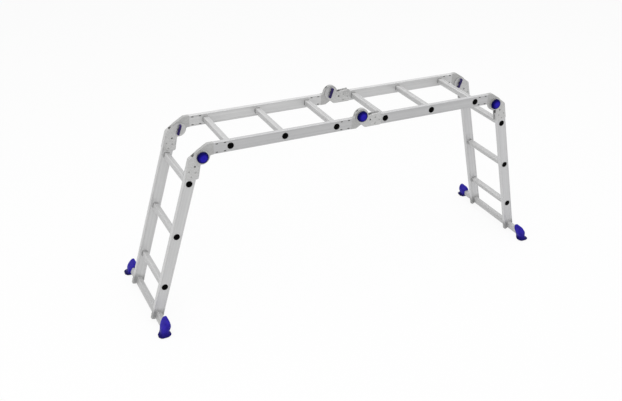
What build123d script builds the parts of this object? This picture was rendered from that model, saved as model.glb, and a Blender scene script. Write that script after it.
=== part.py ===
from build123d import *
import math
import os

# Four-section folding ladder, standing as a work bench on its two end sections.
# Millimetres and degrees. +X runs along the deck, +Y across it, +Z up.
# The origin is on the floor below the middle of the deck.

# Layout of the ladder
rung_pitch = 280.0
rungs_per_section = 3
ladder_width = 350.0  # over the outer faces of the stiles
leg_length = 885.0  # from the hinge pin to the end of a leg stile
leg_fold = 75.0  # how far a leg is turned down from straight
fold_gap = 8.0  # between two stiles that are folded flat together
flat_fit = 0.1  # on each side of a piece in its hole
swing_gap = 0.4  # between faces that pass each other as a hinge turns

# Stile, a box extrusion
stile_depth = 58.0
stile_thickness = 20.0
stile_wall = 1.6
stile_corner = 2.5
stile_groove_width = 2.4
stile_groove_depth = 0.6
stile_groove_inset = 8.0  # from the narrow faces to the middle of a groove

# Rung, a square tube with grooved faces
rung_side = 28.0
rung_wall = 1.6
rung_corner = 4.0
rung_groove_count = 3
rung_groove_pitch = 5.5
rung_groove_width = 2.0
rung_groove_depth = 0.7

# Plug that closes the end of a rung
plug_radius = 14.0
plug_height = 2.4
plug_bevel = 1.4
plug_leg_side = 13.0
plug_leg_length = 9.0

# Hinge socket: a drum and shoulder of pressed sheet with two arms in the stile
drum_radius = 38.0
socket_sheet = 2.4
shoulder_length = 56.0  # from the pin to the end of the stile that it carries
shoulder_nose = 27.0  # from the pin to where the shoulder starts to slope down
shoulder_round = 7.0
socket_bend = 8.0  # inside bend between the drum and the shoulder
arm_depth = 50.0
arm_stop = 4.0  # left between the ends of the arms and the first rung
arm_lap = 10.0  # length over which the arms lie on the shoulder's cheeks
arm_fit = 0.2
lug_length = 11.0  # pressed out of the arms, in windows in the stile's grooves
lug_width = 5.0
lug_sink = 1.4  # below the stile's face
lug_from_shoulder = 16.0
lug_from_arm_end = 10.0
rim_window_length = 13.0
rim_window_width = 7.0
rim_window_angle = 308.0  # seen in the socket's own frame

# Hinge straps: two plates on the outer faces of the other stile
strap_radius = 35.0
strap_sheet = 2.5
strap_reach = 113.0
strap_lip = 10.0  # past the edge of the stile on the pin's side
strap_lip_step = 6.0
strap_nose = 19.0  # from the pin to where the strap starts to slope down
strap_round = 20.0  # at the nose
strap_tail_round = 5.0
strap_bend = 6.0
strap_stile_start = 66.0  # from the pin to the end of the stile between the straps
flange_start = 6.0  # from the pin to where the outer plate's edge is folded over
sight_hole_radius = 4.5
sight_hole_reach = 49.0
sight_hole_level = 22.0  # from the edge of the stile on the pin's side
rivet_radius = 4.8
rivet_height = 2.2
rivet_shank_radius = 2.4
rivet_tail_radius = 3.4
rivet_tail_length = 3.0
rivet_fit = 0.04
rivet_inset = 13.0  # of the first pair, from the stile's narrow faces
rivet_from_start = 12.0  # of the first pair, from the end of the stile
rivet_from_tail = 11.0  # of the last one, from the end of the strap

# Hollow pin through a hinge
pin_radius = 9.0
pin_bore_radius = 5.5
pin_fit = 0.04
pin_running = 0.08

# Lock bar with its two tangs and stem, and the knob that moves it
lock_angle = 72.5  # of the bar, from +X towards +Z
lock_folds = (0.0, leg_fold, 135.0)  # where the tangs find a pair of slots
lock_bar_length = 54.0
lock_bar_width = 10.4
lock_bar_height = 6.0
tang_length = 9.0  # measured outwards from the pin
tang_width = 7.6
tang_clearance = 0.3
tang_stand_off = 0.3  # of the tangs' ends from the drum at rest
lock_travel = 5.0  # outwards, to drop the tangs in their slots
press_travel = 2.5  # inwards, to the end of the knob's stroke
stop_gap = 0.4  # left at either end of the stroke
stem_radius = 5.2
knob_radius = 27.0
knob_skirt = 5.0
knob_dome = 12.0
knob_cavity_radius = 15.0
knob_roof = 6.0  # from the roof of the cavity to the top of the dome
knob_crown = 2.8  # left above the stem
stem_fit = 0.05

# Return spring of square wire in the knob's cavity
spring_radius = 12.0
spring_wire = 1.5
spring_turns = 4.0

# Stabiliser bar across the foot of a leg
bar_depth = 22.0
bar_height = 40.0
bar_wall = 2.0
bar_corner = 3.0
bar_set_back = 3.0  # from the end of the stile
bolt_radius = 4.0
bolt_head_radius = 7.0
bolt_head_height = 2.4
bolt_head_bevel = 1.2

# Boot on each end of the bar: sizes along X and Y at each level, and shifts outwards along Y
foot_spread = 284.0  # from the middle of the ladder to the middle of a boot
bar_above_floor = 38.0
sole_size = (58.0, 46.0)
sole_shift = 9.0
welt_size = (64.0, 56.0)
welt_shift = 10.5
welt_level = 8.0
waist_size = (45.0, 54.0)
waist_shift = -1.0
waist_level = 29.0
nose_size = (40.0, 66.0)
nose_shift = -6.0
nose_level = 57.0
brow_size = (22.0, 60.0)
brow_shift = -10.0
brow_level = 75.0
crown_size = (15.0, 50.0)
crown_shift = -9.5
crown_level = 81.0
tip_size = (9.0, 40.0)
tip_shift = -8.5
tip_level = 84.0
boot_corner = 0.44  # radius of a section's corners, as a share of its shorter side
foot_wall_behind = 8.0  # between the end of the bar and the outer face of the waist
tread_width = 5.0
tread_depth = 3.0
tread_pitch = 14.0
tread_count = 3

# Worked out from the sizes above
first_rung = rung_pitch / 2
hinge_span = 2 * first_rung + (rungs_per_section - 1) * rung_pitch
rung_stations = [first_rung + i * rung_pitch for i in range(rungs_per_section)]
stile_half = stile_thickness / 2
stile_middle = ladder_width / 2 - stile_half
stile_edge = fold_gap / 2  # level of the stile's near edge above the pin
pin_offset = stile_edge + stile_depth / 2
stile_top = stile_edge + stile_depth
drum_half = stile_half - swing_gap
strap_inner = stile_half + swing_gap
strap_outer = strap_inner + strap_sheet
bar_station = leg_length - bar_set_back - bar_height / 2
fold = math.radians(leg_fold)
corner_level = bar_above_floor + bar_station * math.sin(fold) - pin_offset * math.cos(fold)
deck_level = corner_level + pin_offset
centre_level = deck_level + pin_offset
bar_x = hinge_span + bar_station * math.cos(fold) + pin_offset * math.sin(fold)
knob_rim = strap_outer + press_travel + stop_gap
knob_top = knob_rim + knob_skirt + knob_dome
lock_bar_face = strap_outer + lock_travel + stop_gap
tang_end = drum_half + tang_stand_off
bar_half_length = foot_spread + waist_shift + waist_size[1] / 2 - foot_wall_behind
arm_reach = first_rung - rung_side / 2 - arm_stop
lug_level = stile_depth / 2 - stile_groove_inset
lugs = [
    (u, pin_offset + v)
    for u in (shoulder_length + lug_from_shoulder, arm_reach - lug_from_arm_end)
    for v in (-lug_level, lug_level)
]
strap_rivets = [
    (strap_stile_start + rivet_from_start, stile_edge + rivet_inset),
    (strap_stile_start + rivet_from_start, stile_top - rivet_inset),
    (strap_reach - rivet_from_tail, pin_offset),
]


def slab(sketch, inner, outer):
    """Extrude a sketch in (X, Z) between two distances outwards from the near stile's middle."""
    return extrude(Plane.XZ.offset(stile_middle + inner) * sketch, amount=outer - inner)


def place(radius, outwards):
    """Point of an outline that is turned about the hinge axis, on the near side."""
    return (radius, -stile_middle - outwards)


def tangent_point(x, z, radius):
    """Where the line from (x, z) touches a circle about the origin, on its far side."""
    angle = math.atan2(z, x) + math.acos(radius / math.hypot(x, z))
    return radius * math.cos(angle), radius * math.sin(angle)


def rounded(outline, point, radius):
    """The outline with a fillet at its corner nearest to a point."""
    return fillet(outline.vertices().sort_by_distance((*point, 0))[0], radius)


def far(shape):
    """The same piece on the far side of the ladder."""
    return mirror(shape, about=Plane.XZ)


# Each hinge half is drawn about its pin at the origin, with its stile along +X and above the pin.
# These put such a half, or a section that starts with it, in its place.
def on_left_deck(shape):
    return Pos(-hinge_span, 0, corner_level) * shape


def on_left_leg(shape):
    return Pos(-hinge_span, 0, corner_level) * Rot(0, -leg_fold, 0) * mirror(shape, about=Plane.YZ)


def on_right_deck(shape):
    return mirror(on_left_deck(shape), about=Plane.YZ)


def on_right_leg(shape):
    return mirror(on_left_leg(shape), about=Plane.YZ)


def left_of_centre(shape):
    return Pos(0, 0, centre_level) * Rot(0, 180, 0) * shape


def right_of_centre(shape):
    return Pos(0, 0, centre_level) * mirror(shape, about=Plane.XY)


def stile(start, end, rivets=(), windows=()):
    """Box extrusion with grooved faces and holes for rungs, plugs, rivets and the sockets' lugs."""
    profile = RectangleRounded(stile_thickness, stile_depth, stile_corner)
    profile -= Rectangle(stile_thickness - 2 * stile_wall, stile_depth - 2 * stile_wall)
    groove = Rectangle(2 * stile_groove_depth, stile_groove_width)
    groove_level = stile_depth / 2 - stile_groove_inset
    for across in (-stile_half, stile_half):
        for level in (-groove_level, groove_level):
            profile -= Pos(across, level) * groove
    body = extrude(Plane.YZ * profile, amount=end - start)
    body = Pos(start, -stile_middle, pin_offset) * body
    rung_hole = Rectangle(rung_side + 2 * flat_fit, rung_side + 2 * flat_fit)
    plug_hole = Rectangle(plug_leg_side + 2 * flat_fit, plug_leg_side + 2 * flat_fit)
    for station in rung_stations:
        body -= slab(Pos(station, pin_offset) * rung_hole, -stile_thickness, 0)
        body -= slab(Pos(station, pin_offset) * plug_hole, 0, stile_thickness)
    for u, v in rivets:
        body -= slab(Pos(u, v) * Circle(rivet_shank_radius + rivet_fit), -stile_thickness, stile_thickness)
    window = Rectangle(lug_length + 2 * flat_fit, lug_width + 2 * flat_fit)
    for u, v in windows:
        body -= slab(Pos(u, v) * window, -stile_thickness, stile_thickness)
    return body


def leg_stile():
    """Leg stile, whose foot is notched for the stabiliser bar and drilled for its bolt."""
    body = stile(strap_stile_start, leg_length, strap_rivets)
    notch_top = bar_station - bar_height / 2
    notch_length = leg_length - notch_top
    notch = Rectangle(2 * notch_length, bar_depth + 2 * flat_fit)
    body -= slab(Pos(leg_length, pin_offset) * notch, -stile_thickness, stile_thickness)
    drill = Cylinder(bolt_radius + flat_fit, 2 * stile_depth)
    return body - Pos(bar_station, -stile_middle, pin_offset) * drill


def rung():
    """Square tube along Y with round corners and grooves along all four faces."""
    profile = RectangleRounded(rung_side, rung_side, rung_corner)
    profile -= Rectangle(rung_side - 2 * rung_wall, rung_side - 2 * rung_wall)
    groove = Rectangle(rung_groove_width, 2 * rung_groove_depth)
    for quarter in range(4):
        for i in range(rung_groove_count):
            across = (i - (rung_groove_count - 1) / 2) * rung_groove_pitch
            profile -= Rot(0, 0, 90 * quarter) * Pos(across, rung_side / 2) * groove
    return extrude(Plane.XZ * profile, amount=ladder_width / 2 - stile_wall, both=True)


def rung_plug():
    """Bevelled round head on the stile's outer face, with a square leg through it into the rung."""
    base = ladder_width / 2
    head = Plane.XZ.offset(base) * Circle(plug_radius)
    rise = plug_height - plug_bevel
    top = Plane.XZ.offset(base + plug_height) * Circle(plug_radius - plug_bevel)
    body = extrude(head, amount=rise)
    body += loft([Plane.XZ.offset(base + rise) * Circle(plug_radius), top])
    leg = Plane.XZ.offset(base) * Rectangle(plug_leg_side, plug_leg_side)
    return body + extrude(leg, amount=-plug_leg_length)


def socket_outline():
    """Drum and sloping shoulder as one outline in (X, Z)."""
    slope_end = tangent_point(shoulder_nose, stile_top, drum_radius)
    shoulder = Polygon(
        (0, 0),
        (shoulder_length, stile_edge),
        (shoulder_length, stile_top),
        (shoulder_nose, stile_top),
        slope_end,
        align=None,
    )
    outline = Circle(drum_radius) + shoulder
    outline = rounded(outline, (shoulder_nose, stile_top), shoulder_round)
    return rounded(outline, (drum_radius, stile_edge), socket_bend)


def hinge_socket():
    """Hollow drum and shoulder, open towards its stile, with two arms that go into the stile."""
    outline = socket_outline()
    body = slab(outline, -drum_half, drum_half)
    hollow = offset(outline, amount=-socket_sheet)
    cheek = drum_half - socket_sheet
    body -= slab(hollow, -cheek, cheek)
    mouth_depth = stile_depth - 2 * socket_sheet
    mouth = Pos(shoulder_length, pin_offset) * Rectangle(4 * socket_sheet, mouth_depth)
    body -= slab(mouth, -cheek, cheek)
    arm_outer = stile_half - stile_wall - arm_fit
    arm_inner = arm_outer - socket_sheet
    arm_start = shoulder_length - arm_lap
    arm_length = arm_reach - arm_start
    arm = Pos(arm_start + arm_length / 2, pin_offset) * Rectangle(arm_length, arm_depth)
    lap = Pos(arm_start + arm_lap / 2, pin_offset) * Rectangle(arm_lap, arm_depth)
    body += slab(arm, arm_inner, arm_outer) + slab(lap, arm_inner, drum_half)
    body += slab(arm, -arm_outer, -arm_inner) + slab(lap, -drum_half, -arm_inner)
    lug_face = stile_half - lug_sink
    for u, v in lugs:
        lug = Pos(u, v) * Rectangle(lug_length, lug_width)
        body += slab(lug, arm_outer, lug_face) + slab(lug, -lug_face, -arm_outer)
    bore = Circle(pin_radius + pin_running)
    body -= slab(bore, -stile_thickness, stile_thickness)
    window = Box(4 * socket_sheet, rim_window_width, rim_window_length)
    window = Pos(drum_radius, -stile_middle, 0) * window
    return body - Rot(0, -rim_window_angle, 0) * window


def strap_outline():
    """Round head and tail of a strap as one outline in (X, Z)."""
    slope_end = tangent_point(strap_nose, stile_top, strap_radius)
    lip_end = (strap_reach - strap_lip_step, stile_edge - strap_lip)
    tail = Polygon(
        (0, stile_edge),
        lip_end,
        (strap_reach, stile_edge),
        (strap_reach, stile_top),
        (strap_nose, stile_top),
        slope_end,
        align=None,
    )
    outline = Circle(strap_radius) + tail
    outline = rounded(outline, (strap_nose, stile_top), strap_round)
    outline = rounded(outline, (strap_reach, stile_top), strap_tail_round)
    outline = rounded(outline, lip_end, strap_tail_round)
    return rounded(outline, (strap_radius, stile_edge), strap_bend)


def hinge_straps():
    """The outer and the inner plate, each with a raised seat where it lies on the stile.

    The edge of the outer plate is folded over to the inner one, from near the pin to the stile.
    """
    outline = strap_outline()
    flange_length = strap_stile_start - flat_fit - flange_start
    band = Rectangle(flange_length, stile_depth / 2, align=(Align.MIN, Align.MIN))
    flange = outline - offset(outline, amount=-strap_sheet)
    flange = flange & Pos(flange_start, pin_offset) * band
    outline -= Circle(pin_radius + pin_fit)
    outline -= Pos(sight_hole_reach, stile_edge + sight_hole_level) * Circle(sight_hole_radius)
    seat_length = strap_reach - strap_stile_start
    seat = Rectangle(seat_length, stile_depth, align=(Align.MIN, Align.MIN))
    seat = outline & Pos(strap_stile_start, stile_edge) * seat
    outer = slab(outline, strap_inner, strap_outer) + slab(seat, stile_half, strap_inner)
    outer += slab(flange, -strap_inner, strap_inner)
    inner = slab(outline, -strap_outer, -strap_inner) + slab(seat, -strap_inner, -stile_half)
    for u, v in strap_rivets:
        drill = slab(Pos(u, v) * Circle(rivet_shank_radius + rivet_fit), -2 * strap_outer, 2 * strap_outer)
        outer -= drill
        inner -= drill
    return outer, inner


def rivets():
    """Blind rivets on both plates: domed head, shank through plate and stile wall, swelled tail."""
    wall = stile_half - stile_wall
    top = strap_outer + rivet_height
    sphere_radius = (rivet_radius**2 + rivet_height**2) / (2 * rivet_height)
    half_way = rivet_radius / 2
    half_level = top - sphere_radius + math.sqrt(sphere_radius**2 - half_way**2)
    sides = Polyline(
        place(0, top),
        place(0, wall - rivet_tail_length),
        place(rivet_tail_radius, wall - rivet_tail_length),
        place(rivet_tail_radius, wall),
        place(rivet_shank_radius, wall),
        place(rivet_shank_radius, strap_outer),
        place(rivet_radius, strap_outer),
    )
    crown = ThreePointArc(place(rivet_radius, strap_outer), place(half_way, half_level), place(0, top))
    outer = revolve(make_face(sides + crown), Axis.Y)
    inner = Pos(0, -2 * stile_middle, 0) * mirror(outer, about=Plane.XZ)
    return [Pos(u, 0, v) * one for u, v in strap_rivets for one in (outer, inner)]


def hinge_pin():
    """Hollow pin, staked flush with both straps."""
    ring = Circle(pin_radius) - Circle(pin_bore_radius)
    return slab(ring, -strap_outer, strap_outer)


def tangs(width, inner, outer, angle):
    """A pair of flat tangs at opposite ends of the lock bar, as two blocks at an angle about the pin."""
    reach = lock_bar_length / 2
    grown = (width - tang_width) / 2
    block = Rectangle(tang_length + 2 * grown, width)
    pair = [Pos(side * (reach - tang_length / 2), 0) * block for side in (-1, 1)]
    return [Rot(0, -angle, 0) * slab(one, inner, outer) for one in pair]


def lock_bar():
    """Flat bar on the inner side, with tangs towards the drum and a stem through the pin to the knob."""
    bar = Rectangle(lock_bar_length, lock_bar_width)
    bar = chamfer(bar.vertices(), lock_bar_width / 4)
    body = slab(bar, -lock_bar_face - lock_bar_height, -lock_bar_face)
    body = Rot(0, -lock_angle, 0) * body
    for tang in tangs(tang_width, -lock_bar_face, -tang_end, lock_angle):
        body += tang
    return body + slab(Circle(stem_radius), -lock_bar_face, knob_top - knob_crown)


def tang_slots(fold_angles, inner, outer):
    """Slots for the tangs at each of the given angles."""
    width = tang_width + 2 * tang_clearance
    return [slot for angle in fold_angles for slot in tangs(width, inner, outer, angle)]


def knob():
    """Domed push knob, hollow below for the spring, with a blind bore for the stem."""
    bore = stem_radius + stem_fit
    roof = knob_top - knob_roof
    shoulder = knob_rim + knob_skirt
    sphere_radius = (knob_radius**2 + knob_dome**2) / (2 * knob_dome)
    half_way = knob_radius / 2
    half_level = knob_top - sphere_radius + math.sqrt(sphere_radius**2 - half_way**2)
    sides = Polyline(
        place(0, knob_top),
        place(0, knob_top - knob_crown),
        place(bore, knob_top - knob_crown),
        place(bore, roof),
        place(knob_cavity_radius, roof),
        place(knob_cavity_radius, knob_rim),
        place(knob_radius, knob_rim),
        place(knob_radius, shoulder),
    )
    dome = ThreePointArc(place(knob_radius, shoulder), place(half_way, half_level), place(0, knob_top))
    return revolve(make_face(sides + dome), Axis.Y)


def return_spring():
    """Coil of square wire between the outer strap and the roof of the knob's cavity."""
    low = strap_outer + flat_fit + spring_wire / 2
    high = knob_top - knob_roof - flat_fit - spring_wire / 2
    pitch = (high - low) / spring_turns
    print("spring: least gap between turns", round(pitch - spring_wire, 3))
    coil = Helix(pitch, high - low, spring_radius)
    wire = Plane(origin=coil @ 0, x_dir=(1, 0, 0), z_dir=coil % 0) * Rectangle(spring_wire, spring_wire)
    body = sweep(wire, path=coil, is_frenet=True)
    return Pos(0, -stile_middle - low, 0) * Rot(90, 0, 0) * body


def stabiliser_bar():
    """Rectangular tube along Y through the notches of both leg stiles, drilled for their bolts."""
    profile = RectangleRounded(bar_height, bar_depth, bar_corner)
    profile -= Rectangle(bar_height - 2 * bar_wall, bar_depth - 2 * bar_wall)
    tube = extrude(Plane.XZ * profile, amount=bar_half_length, both=True)
    body = Pos(bar_station, 0, pin_offset) * tube
    drill = Cylinder(bolt_radius + flat_fit, 2 * bar_depth)
    for across in (-stile_middle, stile_middle):
        body -= Pos(bar_station, across, pin_offset) * drill
    return body


def stabiliser_bolt():
    """Bolt across the foot of a stile, with a low bevelled head at each end."""
    half = stile_depth / 2
    top = half + bolt_head_height
    rise = half + bolt_head_height - bolt_head_bevel
    outline = Polyline(
        (0, -top),
        (bolt_head_radius - bolt_head_bevel, -top),
        (bolt_head_radius, -rise),
        (bolt_head_radius, -half),
        (bolt_radius, -half),
        (bolt_radius, half),
        (bolt_head_radius, half),
        (bolt_head_radius, rise),
        (bolt_head_radius - bolt_head_bevel, top),
        (0, top),
        close=True,
    )
    body = revolve(make_face(Plane.XZ * outline), Axis.Z)
    return Pos(bar_station, -stile_middle, pin_offset) * body


def foot():
    """Moulded boot that leans with its leg: a flared sole, a waist, a nose and a narrow, rounded crown."""
    levels = [
        (0, sole_size, sole_shift),
        (welt_level, welt_size, welt_shift),
        (waist_level, waist_size, waist_shift),
        (nose_level, nose_size, nose_shift),
        (brow_level, brow_size, brow_shift),
        (crown_level, crown_size, crown_shift),
        (tip_level, tip_size, tip_shift),
    ]
    sections = []
    for level, size, shift in levels:
        lean = (level - bar_above_floor) / math.tan(fold)
        sections.append(Pos(lean, -shift, level) * RectangleRounded(*size, boot_corner * min(size)))
    body = loft(sections[:2]) + loft(sections[1:])
    for i in range(tread_count):
        along = (i - (tread_count - 1) / 2) * tread_pitch - sole_shift
        body -= Pos(0, along, 0) * Box(4 * sole_size[0], tread_width, 2 * tread_depth)
    return Pos(-bar_x, -foot_spread, 0) * body


def bar_pocket():
    """Space that the left stabiliser bar takes in its boots."""
    profile = RectangleRounded(bar_height + 2 * flat_fit, bar_depth + 2 * flat_fit, bar_corner)
    block = extrude(Plane.XZ * profile, amount=bar_half_length, both=True)
    return on_left_leg(Pos(bar_station, 0, pin_offset) * block)


def save(name, *shapes):
    solids = [solid for shape in shapes for solid in shape.solids()]
    whole = solids[0] if len(solids) == 1 else Compound(solids)
    export_step(whole, f"parts/{name}.step")


os.makedirs("parts", exist_ok=True)

# Sections: stiles, rungs and plugs
deck_end_at_socket = hinge_span - shoulder_length
deck_end_at_strap = hinge_span - strap_stile_start
centre_rivets = [(hinge_span - u, 2 * pin_offset - v) for u, v in strap_rivets]
centre_lugs = [(hinge_span - u, v) for u, v in lugs]
sections = {
    "left_leg": (on_left_leg, leg_stile()),
    "left_deck": (on_left_deck, stile(shoulder_length, deck_end_at_socket, windows=lugs + centre_lugs)),
    "right_deck": (on_right_deck, stile(shoulder_length, deck_end_at_strap, centre_rivets, lugs)),
    "right_leg": (on_right_leg, leg_stile()),
}
for section, (on_section, near_stile) in sections.items():
    save(f"{section}_near_stile", on_section(near_stile))
    save(f"{section}_far_stile", far(on_section(near_stile)))
    stations = [Pos(station, 0, pin_offset) for station in rung_stations]
    save(f"{section}_rungs", *[on_section(at * rung()) for at in stations])
    near_plugs = [on_section(at * rung_plug()) for at in stations]
    save(f"{section}_rung_plugs", *near_plugs, *[far(plug) for plug in near_plugs])

# Hinges: where the pin is, where each half goes, and the angles at which the socket has slots
left_slots = [lock_angle + f - leg_fold for f in lock_folds]
centre_slots = [lock_angle + f for f in lock_folds]
right_slots = [lock_angle - f + leg_fold for f in lock_folds]
hinges = {
    "left": (-hinge_span, corner_level, on_left_deck, on_left_leg, left_slots),
    "centre": (0, centre_level, left_of_centre, right_of_centre, centre_slots),
    "right": (hinge_span, corner_level, on_right_deck, on_right_leg, right_slots),
}
for hinge, (x, z, on_socket, on_straps, slot_angles) in hinges.items():
    at_pin = Pos(x, 0, z)
    socket = on_socket(hinge_socket())
    for slot in tang_slots(slot_angles, -stile_half, 0):
        socket -= at_pin * slot
    outer_strap, inner_strap = [on_straps(plate) for plate in hinge_straps()]
    for slot in tang_slots([lock_angle], -2 * strap_outer, 0):
        inner_strap -= at_pin * slot
    pieces = {
        "socket": [socket],
        "straps": [outer_strap, inner_strap],
        "knob": [at_pin * knob()],
        "lock_bar": [at_pin * lock_bar()],
        "spring": [at_pin * return_spring()],
    }
    for piece, shapes in pieces.items():
        save(f"{hinge}_near_{piece}", *shapes)
        save(f"{hinge}_far_{piece}", *[far(shape) for shape in shapes])
    near_pin = at_pin * hinge_pin()
    save(f"{hinge}_hinge_pins", near_pin, far(near_pin))
    near_rivets = [on_straps(rivet) for rivet in rivets()]
    save(f"{hinge}_hinge_rivets", *near_rivets, *[far(rivet) for rivet in near_rivets])

# Stabilisers and boots
near_foot = foot() - bar_pocket()
for side in ("left", "right"):
    on_leg = on_left_leg if side == "left" else on_right_leg
    save(f"{side}_stabiliser_bar", on_leg(stabiliser_bar()))
    near_bolt = on_leg(stabiliser_bolt())
    save(f"{side}_stabiliser_bolts", near_bolt, far(near_bolt))
    boot = near_foot if side == "left" else mirror(near_foot, about=Plane.YZ)
    save(f"{side}_near_foot", boot)
    save(f"{side}_far_foot", far(boot))
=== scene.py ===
import math

import bmesh
import bpy
import numpy as np
from mathutils import Matrix


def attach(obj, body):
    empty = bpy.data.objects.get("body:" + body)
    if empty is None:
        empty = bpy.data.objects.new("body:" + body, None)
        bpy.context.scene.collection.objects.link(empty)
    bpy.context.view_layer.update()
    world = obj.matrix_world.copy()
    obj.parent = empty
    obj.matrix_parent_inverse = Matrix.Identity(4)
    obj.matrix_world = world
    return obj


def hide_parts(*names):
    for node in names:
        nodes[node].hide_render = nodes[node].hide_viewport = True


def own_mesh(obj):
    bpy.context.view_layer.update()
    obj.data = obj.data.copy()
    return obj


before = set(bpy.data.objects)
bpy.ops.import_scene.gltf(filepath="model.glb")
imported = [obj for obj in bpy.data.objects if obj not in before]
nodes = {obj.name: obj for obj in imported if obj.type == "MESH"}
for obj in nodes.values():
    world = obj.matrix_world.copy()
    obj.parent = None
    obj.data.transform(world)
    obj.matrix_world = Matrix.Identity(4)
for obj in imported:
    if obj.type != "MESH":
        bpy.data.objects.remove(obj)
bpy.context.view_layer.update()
scene = bpy.context.scene

MM = 0.001
SIDES = {"near": -1.0, "far": 1.0}

# Sizes in millimetres, as the solids have them
SPAN = 840.0  # from one hinge pin to the next
FOLD = math.radians(75.0)  # of a leg, away from straight
PIN_OFFSET = 33.0  # from a pin to the middle of the stiles' depth
BAR_STATION = 862.0  # from a corner pin along the leg to the stabiliser bar
BAR_LEVEL = 38.0  # of the stabiliser bar over the floor
CORNER_LEVEL = BAR_LEVEL + BAR_STATION * math.sin(FOLD) - PIN_OFFSET * math.cos(FOLD)
DECK_LEVEL = CORNER_LEVEL + PIN_OFFSET
CENTRE_LEVEL = DECK_LEVEL + PIN_OFFSET
STILE_MIDDLE = 165.0  # from the ladder's middle plane to a stile's
STILE_HALF = 10.0
RUNG_STATIONS = (140.0, 420.0, 700.0)  # from the corner pin along each section
RUNG_SIDE = 28.0
RUNG_CORNER = 4.0
PLUG_HEIGHT = 2.4
STRAP_OUTER = 12.9  # from the stile's middle plane, as the three levels of the knob are
KNOB_RIM = 15.8
KNOB_ROOF = 26.8
KNOB_TOP = 32.8
KNOB_CAVITY = 15.0
SPRING_RADIUS = 12.0
SPRING_TURNS = 4.0
WIRE_RADIUS = 0.75

# Radii in millimetres that stand a little over those of the solids
KNOB_RADIUS = 28.5
PLUG_RADIUS = 16.0

HINGES = {
    "left": (-SPAN, CORNER_LEVEL, "left_leg"),
    "centre": (0.0, CENTRE_LEVEL, "right_deck"),
    "right": (SPAN, CORNER_LEVEL, "right_leg"),
}
SECTION_TURNS = {"left_leg": -FOLD, "left_deck": 0.0, "right_deck": 0.0, "right_leg": FOLD}

# Limits for closing a mesh, in metres, and the angle past which an edge stays hard
MERGE_WITHIN = 1e-6
THIN_WITHIN = 1e-7
HARD_EDGE = math.radians(45.0)


def section_point(section, along, level):
    """(x, z) of a point, from its distance along the section and its level over the corner pin.

    A deck runs level from the pin towards the middle. A leg runs outwards from it, turned down by the fold.
    """
    out = -1.0 if section.startswith("left") else 1.0
    if section.endswith("deck"):
        return out * (SPAN - along), CORNER_LEVEL + level
    x = SPAN + along * math.cos(FOLD) + level * math.sin(FOLD)
    return out * x, CORNER_LEVEL - along * math.sin(FOLD) + level * math.cos(FOLD)


def skin(points, first, close_rows):
    """Quads between neighbours on a grid, numbered from first on.

    Each row joins round to its start, and with close_rows the last row joins the first.
    """
    rows, columns = points.shape[:2]
    here = np.arange(rows * columns).reshape(rows, columns)
    across = np.roll(here, -1, 1)
    quads = np.stack([here, across, np.roll(across, -1, 0), np.roll(here, -1, 0)], -1)
    if not close_rows:
        quads = quads[:-1]
    return quads.reshape(-1, 4) + first


def make_piece(name, grids, body, material, close_rows=False, stands_for=()):
    """One object from grids of points in millimetres: poles are merged and the faces turned outwards."""
    vertices, faces, first = [], [], 0
    for grid in grids:
        vertices.append(grid.reshape(-1, 3))
        faces.append(skin(grid, first, close_rows))
        first += grid.shape[0] * grid.shape[1]
    mesh = bpy.data.meshes.new(name)
    mesh.from_pydata((np.concatenate(vertices) * MM).tolist(), [], np.concatenate(faces).tolist())
    work = bmesh.new()
    work.from_mesh(mesh)
    bmesh.ops.remove_doubles(work, verts=work.verts, dist=MERGE_WITHIN)
    bmesh.ops.dissolve_degenerate(work, edges=work.edges, dist=THIN_WITHIN)
    bmesh.ops.recalc_face_normals(work, faces=work.faces)
    work.to_mesh(mesh)
    work.free()
    mesh.shade_smooth()
    mesh.set_sharp_from_angle(angle=HARD_EDGE)
    piece = bpy.data.objects.new(name, mesh)
    scene.collection.objects.link(piece)
    mesh.materials.append(material)
    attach(piece, body)
    if stands_for:
        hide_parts(*stands_for)
    return piece


def lathe(profile, x, z, side, steps):
    """A profile of (radius, distance out from the stile's middle plane) carried round an axis along Y."""
    turn = np.linspace(0, 2 * np.pi, steps, endpoint=False)
    radius, outwards = profile[:, :1], profile[:, 1:]
    y = side * (STILE_MIDDLE + outwards) * np.ones_like(turn)
    return np.stack([x + radius * np.cos(turn), y, z + radius * np.sin(turn)], -1)


def arc(centre, radius, start, end, count):
    """Points of a circular arc as (across, up), from one angle to another in degrees."""
    turn = np.radians(np.linspace(start, end, count))
    return np.stack([centre[0] + radius * np.cos(turn), centre[1] + radius * np.sin(turn)], -1)


# Shader node groups


def new_group(name, outputs, **values):
    """An empty node group that takes a Vector and values with their defaults, and puts out named values."""
    group = bpy.data.node_groups.new(name, "ShaderNodeTree")
    group.interface.new_socket(name="Vector", in_out="INPUT", socket_type="NodeSocketVector")
    for label, default in values.items():
        socket = group.interface.new_socket(name=label, in_out="INPUT", socket_type="NodeSocketFloat")
        socket.default_value = default
    for label in outputs:
        group.interface.new_socket(name=label, in_out="OUTPUT", socket_type="NodeSocketFloat")
    return group, group.nodes.new("NodeGroupInput").outputs, group.nodes.new("NodeGroupOutput").inputs


def node(tree, kind, values=None, **settings):
    """A node with its settings, and with plain values on the named inputs."""
    made = tree.nodes.new(kind)
    for key, value in settings.items():
        setattr(made, key, value)
    for key, value in (values or {}).items():
        made.inputs[key].default_value = value
    return made


def sums(tree, operation, first, second=0.0):
    """A Math node of two numbers or sockets."""
    made = node(tree, "ShaderNodeMath", operation=operation)
    for i, value in enumerate((first, second)):
        if isinstance(value, (int, float)):
            made.inputs[i].default_value = value
        else:
            tree.links.new(value, made.inputs[i])
    return made.outputs[0]


def stretch(tree, vector, factors):
    """A vector with each coordinate times its own factor."""
    made = node(tree, "ShaderNodeVectorMath", operation="MULTIPLY")
    tree.links.new(vector, made.inputs[0])
    made.inputs[1].default_value = factors
    return made.outputs[0]


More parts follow.
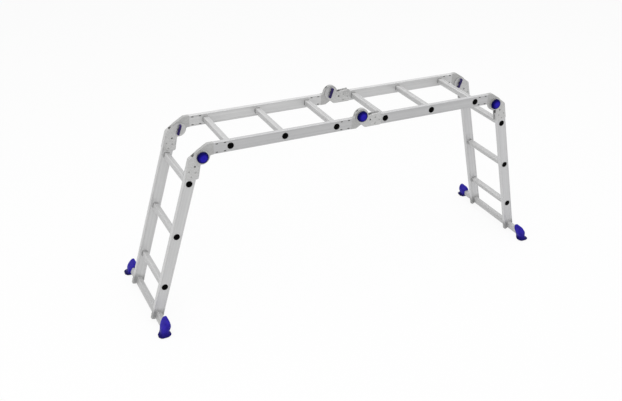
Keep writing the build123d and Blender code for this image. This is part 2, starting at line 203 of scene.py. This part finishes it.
def noise(tree, vector, scale=1.0, detail=3.0, roughness=0.55):
    """Cloudy noise, with the given waves per metre unless the vector is stretched already."""
    made = node(tree, "ShaderNodeTexNoise", {"Scale": scale, "Detail": detail, "Roughness": roughness})
    tree.links.new(vector, made.inputs["Vector"])
    return made.outputs["Fac"]


def spread(tree, value, low, high, to_low=0.0, to_high=1.0):
    """A value carried evenly from one range to another, and held at its ends."""
    limits = {"From Min": low, "From Max": high, "To Min": to_low, "To Max": to_high}
    made = node(tree, "ShaderNodeMapRange", limits)
    tree.links.new(value, made.inputs["Value"])
    return made.outputs["Result"]


def build_die_lines():
    """Fine lines along X, as an extrusion die leaves them: noise drawn out hundreds of times that way."""
    fine_waves, fine_range = (1.2, 700.0, 700.0), (0.32, 0.68)
    broad_waves, broad_range = (0.8, 110.0, 110.0), (0.3, 0.7)
    tree, take, give = new_group("die_lines", ("Lines", "Bands"))
    fine = noise(tree, stretch(tree, take["Vector"], fine_waves), detail=2.0)
    broad = noise(tree, stretch(tree, take["Vector"], broad_waves), detail=2.0)
    tree.links.new(spread(tree, fine, *fine_range), give["Lines"])
    tree.links.new(spread(tree, broad, *broad_range), give["Bands"])
    return tree


def build_handling():
    """Smudges and small scuffs from use: soft clouds, and short scratches where two noises both peak."""
    cloud_range, scratch_range, place_range = (0.38, 0.68), (0.64, 0.74), (0.52, 0.64)
    scratch_waves = (60.0, 420.0, 300.0)
    tree, take, give = new_group("handling", ("Smudge", "Scuff"))
    cloud = noise(tree, take["Vector"], scale=9.0, detail=5.0, roughness=0.62)
    scratch = noise(tree, stretch(tree, take["Vector"], scratch_waves), detail=1.0)
    place = noise(tree, take["Vector"], scale=23.0, detail=2.0)
    scuff = sums(tree, "MULTIPLY", spread(tree, scratch, *scratch_range), spread(tree, place, *place_range))
    tree.links.new(spread(tree, cloud, *cloud_range), give["Smudge"])
    tree.links.new(scuff, give["Scuff"])
    return tree


def build_zinc():
    """Zinc plating: flat crystal patches of different brightness, with a fine frosted grain over them."""
    frost_range = (0.35, 0.65)
    tree, take, give = new_group("zinc", ("Patch", "Frost"))
    cells = node(tree, "ShaderNodeTexVoronoi", {"Scale": 190.0, "Randomness": 1.0}, feature="F1")
    tree.links.new(take["Vector"], cells.inputs["Vector"])
    split = node(tree, "ShaderNodeSeparateColor")
    tree.links.new(cells.outputs["Color"], split.inputs["Color"])
    frost = noise(tree, take["Vector"], scale=900.0)
    tree.links.new(split.outputs["Red"], give["Patch"])
    tree.links.new(spread(tree, frost, *frost_range), give["Frost"])
    return tree


def build_moulding():
    """Moulded plastic skin: a fine pebble grain, and broad flow clouds from the mould."""
    flow_range = (0.35, 0.65)
    tree, take, give = new_group("moulding", ("Pebble", "Flow"), Grain=1400.0)
    grain = node(tree, "ShaderNodeTexVoronoi", {"Randomness": 1.0}, feature="SMOOTH_F1")
    tree.links.new(take["Vector"], grain.inputs["Vector"])
    tree.links.new(take["Grain"], grain.inputs["Scale"])
    flow = noise(tree, take["Vector"], scale=38.0)
    tree.links.new(grain.outputs["Distance"], give["Pebble"])
    tree.links.new(spread(tree, flow, *flow_range), give["Flow"])
    return tree


die_lines = build_die_lines()
handling = build_handling()
zinc = build_zinc()
moulding = build_moulding()


# Materials

BUMP_STRENGTH = 0.5

# Aluminium: shares of the colour, roughness, and heights in metres
LINE_SHARE = 0.3
BAND_SHARE = 0.7
# Painted shade where rungs meet the stiles and at the legs' feet by the bar, broken up by smudge clouds
JOINT_SHADE = (0.16, 0.16, 0.155)
JOINT_SHADE_COVER = (0.45, 0.75)
ALUMINIUM_METALLIC = 0.38
ALUMINIUM_ROUGH = (0.40, 0.52)
SCUFF_ROUGH = 0.12
SCUFF_DEPTH = 1.5  # in heights of a die line
LINE_HEIGHT = 0.000004

# Plated steel
PATCH_SHARE = 0.5
FROST_SHARE = 0.3
SMUDGE_SHARE = 0.2
FROST_HEIGHT = 0.00003
ROUGH_BY_PATCH = (-0.07, 0.08)
# Painted shade: a dark colour for the socket's arms inside the stile, seen through the crimp windows
ARM_SHADE = (0.08, 0.08, 0.08)
ARMS_START = 0.0615  # in metres from the hinge pin

# Plastic: a painted shade near the floor fades out between two levels over the floor, which wander a little,
# in metres
ROUGH_BY_SMUDGE = (-0.05, 0.08)
FLOOR_SHADE_FADE = (0.004, 0.032)
FLOOR_SHADE_WANDER = 0.004


def start_material(name, turn=(0.0, 0.0, 0.0)):
    """A Principled material with its Object coordinates, turned so that X runs along the piece."""
    material = bpy.data.materials.new(name)
    material.use_nodes = True
    tree = material.node_tree
    shader = tree.nodes["Principled BSDF"]
    where = node(tree, "ShaderNodeTexCoord")
    mapping = node(tree, "ShaderNodeMapping", {"Rotation": turn})
    tree.links.new(where.outputs["Object"], mapping.inputs["Vector"])
    return material, tree, shader, mapping.outputs["Vector"]


def use_group(tree, group, vector, **values):
    """Outputs of a group placed in a material, with its own values."""
    made = node(tree, "ShaderNodeGroup", node_tree=group)
    tree.links.new(vector, made.inputs["Vector"])
    for key, value in values.items():
        made.inputs[key].default_value = value
    return made.outputs


def tint(tree, factor, low, high):
    """Colour between two by a factor. Each of the two is a plain colour or a socket."""
    made = node(tree, "ShaderNodeMix", data_type="RGBA")
    for key, value in (("A", low), ("B", high)):
        if isinstance(value, tuple):
            made.inputs[key].default_value = (*value, 1.0)
        else:
            tree.links.new(value, made.inputs[key])
    tree.links.new(factor, made.inputs["Factor"])
    return made.outputs["Result"]


def blend(tree, *shares):
    """Sum of values, each times its share."""
    total = None
    for value, share in shares:
        part = sums(tree, "MULTIPLY", value, share)
        total = part if total is None else sums(tree, "ADD", total, part)
    return total


def part_of(tree, vector, axis):
    """One coordinate of a vector."""
    made = node(tree, "ShaderNodeSeparateXYZ")
    tree.links.new(vector, made.inputs["Vector"])
    return made.outputs[axis]


def bump(tree, shader, height, distance):
    """Relief from a height value, as deep as the distance in metres."""
    made = node(tree, "ShaderNodeBump", {"Distance": distance, "Strength": BUMP_STRENGTH})
    tree.links.new(height, made.inputs["Height"])
    tree.links.new(made.outputs["Normal"], shader.inputs["Normal"])


def extruded_aluminium(name, turn, low, high, joint_shade=None, both_ends=False):
    """Mill-finish extrusion: die lines along the piece, smudged and lightly scuffed by use.

    Given two places along the piece, it turns between them from clean to a painted shade, standing in for the
    shade that falls where it meets other parts.
    """
    material, tree, shader, vector = start_material(name, turn)
    lines = use_group(tree, die_lines, vector)
    wear = use_group(tree, handling, vector)
    shade = blend(tree, (lines["Lines"], LINE_SHARE), (lines["Bands"], BAND_SHARE))
    colour = tint(tree, shade, low, high)
    # Painted shade towards the joints, broken up by smudge clouds
    if joint_shade:
        along = part_of(tree, vector, "X")
        if both_ends:
            along = sums(tree, "ABSOLUTE", along)
        cover = spread(tree, wear["Smudge"], 0.0, 1.0, *JOINT_SHADE_COVER)
        joint_shade_mask = sums(tree, "MULTIPLY", spread(tree, along, *joint_shade), cover)
        colour = tint(tree, joint_shade_mask, colour, JOINT_SHADE)
    tree.links.new(colour, shader.inputs["Base Color"])
    roughness = spread(tree, wear["Smudge"], 0.0, 1.0, *ALUMINIUM_ROUGH)
    roughness = sums(tree, "ADD", roughness, sums(tree, "MULTIPLY", wear["Scuff"], SCUFF_ROUGH))
    tree.links.new(roughness, shader.inputs["Roughness"])
    shader.inputs["Metallic"].default_value = ALUMINIUM_METALLIC
    scratches = sums(tree, "MULTIPLY", wear["Scuff"], SCUFF_DEPTH)
    bump(tree, shader, sums(tree, "SUBTRACT", lines["Lines"], scratches), LINE_HEIGHT)
    return material


def plated_steel(name, low, high, rough=0.42, metallic=0.6, arms=None):
    """Zinc-plated pressing with spangled patches and handling marks.

    Arms gives how far from the nearest hinge pin a socket's arms start: they are painted dark, a painted
    shade for the windows and recesses they lie in.
    """
    material, tree, shader, vector = start_material(name)
    plating = use_group(tree, zinc, vector)
    wear = use_group(tree, handling, vector)
    shade = blend(
        tree, (plating["Patch"], PATCH_SHARE), (plating["Frost"], FROST_SHARE), (wear["Smudge"], SMUDGE_SHARE)
    )
    colour = tint(tree, shade, low, high)
    # Painted shade on the arms, darkening their windows
    if arms:
        half = SPAN * MM / 2
        out = sums(tree, "ABSOLUTE", part_of(tree, vector, "X"))
        off_middle = sums(tree, "ABSOLUTE", sums(tree, "SUBTRACT", out, half))
        from_pin = sums(tree, "SUBTRACT", half, off_middle)
        colour = tint(tree, spread(tree, from_pin, arms - MM, arms), colour, ARM_SHADE)
    tree.links.new(colour, shader.inputs["Base Color"])
    roughness = spread(tree, plating["Patch"], 0.0, 1.0, *(rough + change for change in ROUGH_BY_PATCH))
    tree.links.new(roughness, shader.inputs["Roughness"])
    shader.inputs["Metallic"].default_value = metallic
    bump(tree, shader, plating["Frost"], FROST_HEIGHT)
    return material


def moulded_plastic(name, low, high, rough, grain, depth, specular, rim=None, floor_shade=None):
    """Moulded plastic or rubber: pebble grain in the relief and flow clouds in the colour.

    With a rim colour, the knob's edge, where its own vertex value is nought, takes a painted shade, and its
    crown stays lighter as painted light. With a colour for low down, the piece takes a painted shade near the
    floor.
    """
    material, tree, shader, vector = start_material(name)
    surface = use_group(tree, moulding, vector, Grain=grain)
    wear = use_group(tree, handling, vector)
    colour = tint(tree, surface["Flow"], low, high)
    # Painted shade round the knob's edge, with painted light left at its crown, from the knob's own vertex
    # value
    if rim:
        painted_light = node(tree, "ShaderNodeAttribute", attribute_type="GEOMETRY", attribute_name="painted_light")
        colour = tint(tree, painted_light.outputs["Fac"], rim, colour)
    # Painted shade near the floor: the colour turns darker towards the bottom
    if floor_shade:
        wander = spread(tree, wear["Smudge"], 0.0, 1.0, -FLOOR_SHADE_WANDER, FLOOR_SHADE_WANDER)
        lift = sums(tree, "ADD", part_of(tree, vector, "Z"), wander)
        colour = tint(tree, spread(tree, lift, *FLOOR_SHADE_FADE), floor_shade, colour)
    tree.links.new(colour, shader.inputs["Base Color"])
    roughness = spread(tree, wear["Smudge"], 0.0, 1.0, *(rough + change for change in ROUGH_BY_SMUDGE))
    tree.links.new(roughness, shader.inputs["Roughness"])
    shader.inputs["Specular IOR Level"].default_value = specular
    bump(tree, shader, surface["Pebble"], depth)
    return material


# Turns that bring a piece's length to X
ALONG_X = (0.0, 0.0, 0.0)
ALONG_Y = (0.0, 0.0, math.radians(-90.0))
ALONG_LEFT_LEG = (0.0, FOLD, 0.0)
ALONG_RIGHT_LEG = (0.0, -FOLD, 0.0)

# Places in metres where the painted shade at joints starts and is full: on a rung from its middle towards the
# stiles, on a leg from the corner pin towards the bar's notch
RUNG_JOINT_SHADE = (0.140, 0.156)
LEG_JOINT_SHADE = (0.822, 0.850)

# The left corner pin's place on the turned X. The right one's is as far on the other side of nought.
LEG_ZERO = (CORNER_LEVEL * math.sin(FOLD) - SPAN * math.cos(FOLD)) * MM
LEFT_LEG_JOINT_SHADE = tuple(LEG_ZERO - place for place in LEG_JOINT_SHADE)
RIGHT_LEG_JOINT_SHADE = tuple(place - LEG_ZERO for place in LEG_JOINT_SHADE)

# The near deck stiles take a darker copy of the stile aluminium, a painted shade; the far deck stiles a
# lighter copy than the near ones, painted light
near_deck_shaded_aluminium = extruded_aluminium(
    "near_deck_shaded_aluminium",
    ALONG_X,
    low=(0.47, 0.47, 0.475),
    high=(0.55, 0.55, 0.555),
)
far_deck_lit_aluminium = extruded_aluminium(
    "far_deck_lit_aluminium",
    ALONG_X,
    low=(0.56, 0.56, 0.56),
    high=(0.645, 0.645, 0.645),
)
left_leg_aluminium = extruded_aluminium(
    "left_leg_aluminium",
    ALONG_LEFT_LEG,
    low=(0.55, 0.55, 0.55),
    high=(0.64, 0.64, 0.64),
    joint_shade=LEFT_LEG_JOINT_SHADE,
)
right_leg_aluminium = extruded_aluminium(
    "right_leg_aluminium",
    ALONG_RIGHT_LEG,
    low=(0.55, 0.55, 0.555),
    high=(0.64, 0.64, 0.645),
    joint_shade=RIGHT_LEG_JOINT_SHADE,
)
rung_aluminium = extruded_aluminium(
    "rung_aluminium",
    ALONG_Y,
    low=(0.52, 0.52, 0.52),
    high=(0.62, 0.62, 0.62),
    joint_shade=RUNG_JOINT_SHADE,
    both_ends=True,
)
bar_aluminium = extruded_aluminium(
    "bar_aluminium",
    ALONG_Y,
    low=(0.455, 0.455, 0.455),
    high=(0.555, 0.555, 0.555),
)
socket_steel = plated_steel(
    "socket_steel",
    low=(0.37, 0.37, 0.365),
    high=(0.53, 0.53, 0.525),
    arms=ARMS_START,
)
strap_steel = plated_steel(
    "strap_steel",
    low=(0.44, 0.44, 0.435),
    high=(0.63, 0.63, 0.625),
)
pin_steel = plated_steel(
    "pin_steel",
    low=(0.30, 0.30, 0.30),
    high=(0.44, 0.44, 0.44),
    rough=0.35,
    metallic=0.8,
)
rivet_steel = plated_steel(
    "rivet_steel",
    low=(0.28, 0.28, 0.275),
    high=(0.42, 0.42, 0.415),
    rough=0.36,
)
bolt_steel = plated_steel(
    "bolt_steel",
    low=(0.34, 0.34, 0.335),
    high=(0.50, 0.50, 0.49),
    rough=0.36,
)
spring_steel = plated_steel(
    "spring_steel",
    low=(0.28, 0.28, 0.28),
    high=(0.42, 0.42, 0.42),
    rough=0.30,
    metallic=0.85,
)
knob_blue = moulded_plastic(
    "knob_blue",
    low=(0.019, 0.012, 0.35),
    high=(0.030, 0.020, 0.45),
    rough=0.34,
    grain=2200.0,
    depth=0.00001,
    specular=0.03,
    # Painted shade round the edge of the knob's dome
    rim=(0.0016, 0.0009, 0.065),
)
boot_blue = moulded_plastic(
    "boot_blue",
    low=(0.022, 0.014, 0.27),
    high=(0.036, 0.024, 0.37),
    rough=0.36,
    grain=1500.0,
    depth=0.00003,
    specular=0.05,
    # Painted shade by the floor: a darker copy of the boot's blue
    floor_shade=(0.004, 0.002, 0.07),
)
bar_violet = moulded_plastic(
    "bar_violet",
    low=(0.020, 0.012, 0.085),
    high=(0.034, 0.020, 0.125),
    rough=0.45,
    grain=1800.0,
    depth=0.00002,
    specular=0.15,
)
plug_black = moulded_plastic(
    "plug_black",
    low=(0.0005, 0.0005, 0.0005),
    high=(0.0012, 0.0012, 0.0012),
    rough=0.42,
    grain=1600.0,
    depth=0.00002,
    specular=0.02,
)

# The first part of a name that fits gives the node its finish
FINISH = {
    "left_leg_near_stile": left_leg_aluminium,
    "left_leg_far_stile": left_leg_aluminium,
    "right_leg_near_stile": right_leg_aluminium,
    "right_leg_far_stile": right_leg_aluminium,
    "_deck_near_stile": near_deck_shaded_aluminium,
    "_deck_far_stile": far_deck_lit_aluminium,
    "_rungs": rung_aluminium,
    "_socket": socket_steel,
    "_straps": strap_steel,
    "_hinge_pins": pin_steel,
    "_hinge_rivets": rivet_steel,
    "_lock_bar": bar_violet,
    "_stabiliser_bar": bar_aluminium,
    "_stabiliser_bolts": bolt_steel,
    "_knob": knob_blue,
    "_rung_plugs": plug_black,
    "_spring": spring_steel,
    "_foot": boot_blue,
}
for name, solid in nodes.items():
    finish = next(FINISH[part] for part in FINISH if part in name)
    solid.data.materials.clear()
    solid.data.materials.append(finish)


# Knobs


def knob_profile():
    """Half section of a knob: the spring's cavity, a rounded rim and a dome.

    Over a quarter turn the dome's radius falls as the cosine, and its height grows as the sine to a power a
    little under one, which makes it fuller than an ellipse.
    """
    rim_round, rim_points = 1.0, 6
    skirt, fullness, dome_points = 1.5, 0.94, 34
    start = KNOB_RIM + skirt
    lift = np.radians(np.linspace(0, 90, dome_points))
    height = start + (KNOB_TOP - start) * np.sin(lift) ** fullness
    cavity = [[0.0, KNOB_ROOF], [KNOB_CAVITY, KNOB_ROOF], [KNOB_CAVITY, KNOB_RIM]]
    rim = arc((KNOB_RADIUS - rim_round, KNOB_RIM + rim_round), rim_round, -90, 0, rim_points)
    return np.concatenate([cavity, rim, np.stack([KNOB_RADIUS * np.cos(lift), height], -1)])


def paint_knob_light(piece, x, z):
    """Painted light as a vertex value: one near the knob's axis, easing to nought, a painted shade, just
    inside its edge.
    """
    shade_from, ease = 0.94, 0.62
    place = np.empty(3 * len(piece.data.vertices))
    piece.data.vertices.foreach_get("co", place)
    place = place.reshape(-1, 3) / MM
    out = np.hypot(place[:, 0] - x, place[:, 2] - z) / KNOB_RADIUS
    share = np.clip((shade_from - out) / ease, 0, 1)
    values = piece.data.attributes.new("painted_light", "FLOAT", "POINT")
    values.data.foreach_set("value", share * share * (3 - 2 * share))


knob_section = knob_profile()
for hinge, (x, z, _) in HINGES.items():
    for side, sign in SIDES.items():
        knob = make_piece(
            f"{hinge}_{side}_push_knob",
            [lathe(knob_section, x, z, sign, steps=96)],
            f"{hinge}_{side}_release",
            knob_blue,
            stands_for=[f"{hinge}_{side}_knob"],
        )
        # Vertex value for painted light at the crown and painted shade at the edge
        paint_knob_light(knob, x, z)


# Springs


def spring_coil(x, z, side):
    """Round wire carried along an even helix about the hinge axis, closed to a point at both ends.

    It reaches from the outer strap to the roof of the knob's cavity.
    """
    clear, points, facets = 0.1, 161, 10
    low = STRAP_OUTER + clear + WIRE_RADIUS
    high = KNOB_ROOF - clear - WIRE_RADIUS
    t = np.linspace(0, 1, points)[:, None]
    swing = 2 * np.pi * SPRING_TURNS * t
    around = np.linspace(0, 2 * np.pi, facets, endpoint=False)[None, :]
    wire = np.where((t == 0) | (t == 1), 0.0, WIRE_RADIUS)
    radius = SPRING_RADIUS + wire * np.cos(around)
    outwards = low + (high - low) * t + wire * np.sin(around)
    y = side * (STILE_MIDDLE + outwards)
    return np.stack([x + radius * np.cos(swing), y, z + radius * np.sin(swing)], -1)


for hinge, (x, z, carrier) in HINGES.items():
    for side, sign in SIDES.items():
        coil = make_piece(
            f"{hinge}_{side}_return_spring",
            [spring_coil(x, z, sign)],
            carrier,
            spring_steel,
            stands_for=[f"{hinge}_{side}_spring"],
        )
        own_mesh(coil)


# Rung plugs and swage beads


def plug_profile():
    """Half section of a plug's head on the stile's face: a low crown, a moulded step and a rounded edge.

    The crown's height falls as the square of the distance from the axis.
    """
    crown_radius, fall, crown_points = 11.0, 0.3, 8
    step, step_floor, step_end = 0.15, 0.7, 1.1
    round_over, edge_points = 1.5, 7
    level = PLUG_HEIGHT - fall
    out = np.linspace(0, crown_radius, crown_points)
    crown = np.stack([out, PLUG_HEIGHT - fall * (out / crown_radius) ** 2], -1)
    groove = [[crown_radius + step_floor, level - step], [crown_radius + step_end, level]]
    edge = arc((PLUG_RADIUS - round_over, level - round_over), round_over, 90, 0, edge_points)
    profile = np.concatenate([crown, groove, edge, [[PLUG_RADIUS, 0.0], [0.0, 0.0]]])
    return profile + np.array([0.0, STILE_HALF])


def swage_bead(x, z, side, turned):
    """Bead carried round a rung's rounded square outline, on the inner face of the stile.

    In section it is half an oval, from the rung outwards.
    """
    fit, bead, corner_points, bead_points = 0.1, 1.1, 6, 8
    inner_face = STILE_MIDDLE - STILE_HALF
    inset = RUNG_SIDE / 2 + fit - RUNG_CORNER
    path, outward = [], []
    for sx, sz, start in ((1, 1, 0), (-1, 1, 90), (-1, -1, 180), (1, -1, 270)):
        path.append(arc((sx * inset, sz * inset), RUNG_CORNER, start, start + 90, corner_points))
        outward.append(arc((0, 0), 1.0, start, start + 90, corner_points))
    path, outward = np.concatenate(path), np.concatenate(outward)
    lift = np.radians(np.linspace(0, 180, bead_points))
    across = bead * (1 + np.cos(lift))[None, :, None] / 2
    flat = path[:, None, :] + outward[:, None, :] * across
    height = inner_face - bead * np.sin(lift)[None, :] * np.ones((len(path), 1))
    c, s = math.cos(turned), math.sin(turned)
    bead_x = x + c * flat[..., 0] + s * flat[..., 1]
    bead_z = z - s * flat[..., 0] + c * flat[..., 1]
    return np.stack([bead_x, side * height, bead_z], -1)


plug_section = plug_profile()
for section, turned in SECTION_TURNS.items():
    heads, beads = [], []
    for station in RUNG_STATIONS:
        x, z = section_point(section, station, PIN_OFFSET)
        for sign in SIDES.values():
            heads.append(lathe(plug_section, x, z, sign, steps=40))
            beads.append(swage_bead(x, z, sign, turned))
    plugs = [f"{section}_rung_plugs"]
    make_piece(f"{section}_plug_heads", heads, section, plug_black, stands_for=plugs)
    make_piece(f"{section}_swage_beads", beads, section, rung_aluminium, close_rows=True)


# Rolled lips of the straps


def hinge_point(hinge, along, level):
    """(x, z) of a point on a hinge's straps, from its distance along them and its level over the pin.

    The centre hinge's straps hang below their pin, so the level counts downwards there.
    """
    if hinge == "centre":
        return along, CENTRE_LEVEL - level
    return section_point(f"{hinge}_leg", along, level)


def lip_roll(hinge, face, side):
    """Rolled edge of a strap's lip: a round bar along a straight line, half sunk in the strap's face.

    With t from 0 to 1 along it, its radius goes as the root of 1 - (2t - 1)^8, which is nearly even along the
    middle and nought at both ends.
    """
    start, length, points = 40.0, 61.0, 40
    start_level, fall = 2.4, 5.3
    thickness, facets = 1.7, 16
    t = np.linspace(0, 1, points)[:, None]
    around = np.linspace(0, 2 * np.pi, facets, endpoint=False)[None, :]
    swell = np.sqrt(np.clip(1 - (2 * t - 1) ** 8, 0, 1))
    along = start + length * t + 0 * around
    level = start_level - fall * t + thickness * swell * np.cos(around)
    across = face + thickness * swell * np.sin(around)
    x, z = hinge_point(hinge, along, level)
    return np.stack([x, side * (STILE_MIDDLE + across), z], -1)


for hinge, (_, _, carrier) in HINGES.items():
    rolls = []
    for sign in SIDES.values():
        rolls += [lip_roll(hinge, face, sign) for face in (-STRAP_OUTER, STRAP_OUTER)]
    make_piece(f"{hinge}_lip_rolls", rolls, carrier, strap_steel)


# Floor, light and camera

WHITE = (1.0, 1.0, 1.0, 1.0)
FLOOR_GREY = (0.86, 0.86, 0.86, 1.0)
FLOOR_HALF = 40
FLOOR_WHITE_SHARE = 0.9
WORLD_LIGHT = 0.55
CAMERA_PLACE = (-1.97804, -3.38060, 2.56437)
CAMERA_HEADING = math.radians(28.1113)
CAMERA_DOWN = math.radians(29.5326)
CAMERA_ROLL = math.radians(2.4571)
CAMERA_REACH = 200.0
SENSOR_WIDTH = 36.0
FOCAL_PIXELS = 820.897
PICTURE_PIXELS = 622.0


def build_floor():
    """A wide pale sheet: camera rays see it nearly white, with a faint shadow of the object."""
    mesh = bpy.data.meshes.new("floor")
    corners = [(sx * FLOOR_HALF, sy * FLOOR_HALF, 0) for sx, sy in ((-1, -1), (1, -1), (1, 1), (-1, 1))]
    mesh.from_pydata(corners, [], [(0, 1, 2, 3)])
    floor = bpy.data.objects.new("floor", mesh)
    scene.collection.objects.link(floor)
    material = bpy.data.materials.new("floor_white")
    material.use_nodes = True
    tree = material.node_tree
    tree.nodes.clear()
    paper = node(tree, "ShaderNodeBsdfDiffuse", {"Color": FLOOR_GREY})
    white = node(tree, "ShaderNodeEmission", {"Color": WHITE, "Strength": 1.0})
    rays = node(tree, "ShaderNodeLightPath")
    seen = sums(tree, "MAXIMUM", rays.outputs["Is Camera Ray"], rays.outputs["Is Glossy Ray"])
    seen = sums(tree, "MAXIMUM", seen, rays.outputs["Is Transmission Ray"])
    mix = node(tree, "ShaderNodeMixShader")
    tree.links.new(sums(tree, "MULTIPLY", seen, FLOOR_WHITE_SHARE), mix.inputs["Fac"])
    tree.links.new(paper.outputs[0], mix.inputs[1])
    tree.links.new(white.outputs[0], mix.inputs[2])
    leave = node(tree, "ShaderNodeOutputMaterial")
    tree.links.new(mix.outputs[0], leave.inputs["Surface"])
    mesh.materials.append(material)


def build_world():
    """White where it is seen, and an even grey light everywhere else."""
    world = bpy.data.worlds.new("studio")
    scene.world = world
    world.use_nodes = True
    tree = world.node_tree
    back = tree.nodes["Background"]
    rays = node(tree, "ShaderNodeLightPath")
    seen = sums(tree, "MAXIMUM", rays.outputs["Is Camera Ray"], rays.outputs["Is Glossy Ray"])
    seen = sums(tree, "MAXIMUM", seen, rays.outputs["Is Transmission Ray"])
    tree.links.new(spread(tree, seen, 0.0, 1.0, WORLD_LIGHT, 1.0), back.inputs["Strength"])
    back.inputs["Color"].default_value = WHITE


def soft_lamp(name, place, aim, wide, deep, power):
    """A rectangular area lamp at a place, facing a point, its wide side level."""
    lamp = bpy.data.lights.new(name, "AREA")
    lamp.shape = "RECTANGLE"
    lamp.size = wide
    lamp.size_y = deep
    lamp.energy = power
    made = bpy.data.objects.new(name, lamp)
    scene.collection.objects.link(made)
    back = np.array(place, float) - np.array(aim, float)
    back /= np.linalg.norm(back)
    right = np.cross((0.0, 0.0, 1.0), back)
    right /= np.linalg.norm(right)
    turn = Matrix(np.stack([right, np.cross(back, right), back], 1).tolist())
    made.matrix_world = Matrix.Translation(place) @ turn.to_4x4()


def build_camera():
    """Camera fitted to the rung ends, knobs and lock bars: it heads to the right of +Y and looks down."""
    level = np.array([math.cos(CAMERA_HEADING), -math.sin(CAMERA_HEADING), 0.0])
    forward = np.array([math.sin(CAMERA_HEADING), math.cos(CAMERA_HEADING), 0.0])
    ahead = forward * math.cos(CAMERA_DOWN) - np.array([0.0, 0.0, math.sin(CAMERA_DOWN)])
    upright = np.cross(level, ahead)
    right = level * math.cos(CAMERA_ROLL) + upright * math.sin(CAMERA_ROLL)
    up = upright * math.cos(CAMERA_ROLL) - level * math.sin(CAMERA_ROLL)
    data = bpy.data.cameras.new("camera")
    data.sensor_width = SENSOR_WIDTH
    data.lens = FOCAL_PIXELS * SENSOR_WIDTH / PICTURE_PIXELS
    data.clip_end = CAMERA_REACH
    camera = bpy.data.objects.new("camera", data)
    scene.collection.objects.link(camera)
    turn = Matrix(np.stack([right, up, -ahead], 1).tolist())
    camera.matrix_world = Matrix.Translation(CAMERA_PLACE) @ turn.to_4x4()
    scene.camera = camera


build_floor()
build_world()
soft_lamp("top_lamp", place=(0.15, -0.6, 5.5), aim=(0.1, 0.0, 0.6), wide=10.0, deep=7.0, power=270.0)
soft_lamp("left_lamp", place=(-4.2, -2.2, 2.2), aim=(0.0, 0.0, 0.6), wide=2.5, deep=2.5, power=30.0)
build_camera()
scene.view_settings.view_transform = "Standard"
